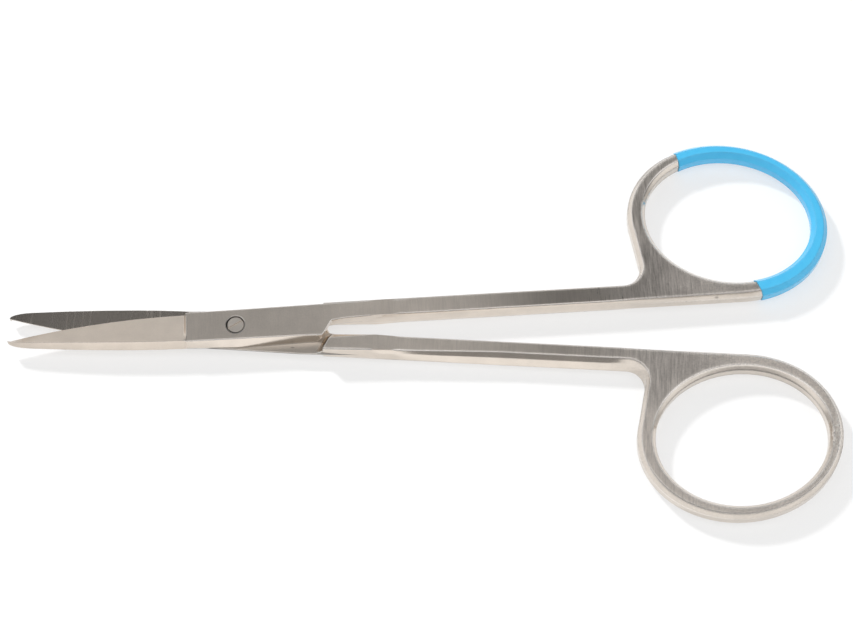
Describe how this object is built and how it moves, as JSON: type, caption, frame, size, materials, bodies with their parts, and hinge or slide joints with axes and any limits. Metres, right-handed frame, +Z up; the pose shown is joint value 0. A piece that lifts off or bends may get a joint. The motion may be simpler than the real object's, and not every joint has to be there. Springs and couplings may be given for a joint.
{
  "type": "iris scissors",
  "caption": "Straight fine-pointed dissecting scissors with ground blades, a lap joint on a slotted screw, slim shanks and oval finger rings, one with a blue marking band.",
  "frame": {"origin": "on the pivot axis, in the plane of the rear half's under face that the scissors rest on", "axes": "+Z up along the pivot axis, +X from the pivot towards the finger rings along the bisector of the two halves, -X towards the tips"},
  "size_m": [0.1134, 0.0564, 0.0035],
  "materials": {
    "satin_steel": "satin ground and polished stainless instrument steel",
    "screw_steel": "turned, slightly worn steel",
    "blue_coating": "smooth light blue marking skin, semi-gloss"
  },
  "bodies": {
    "rear": {"rear_half": "satin_steel", "pivot_screw": "screw_steel"},
    "front": {"front_half": "satin_steel", "ring_coating": "blue_coating"}
  },
  "joints": [
    {"name": "pivot", "type": "hinge", "parent": "rear", "child": "front", "pos_m": [0, 0, 0.00175], "axis": [0, 0, 1], "range_deg": [-6.7, 100]}
  ]
}
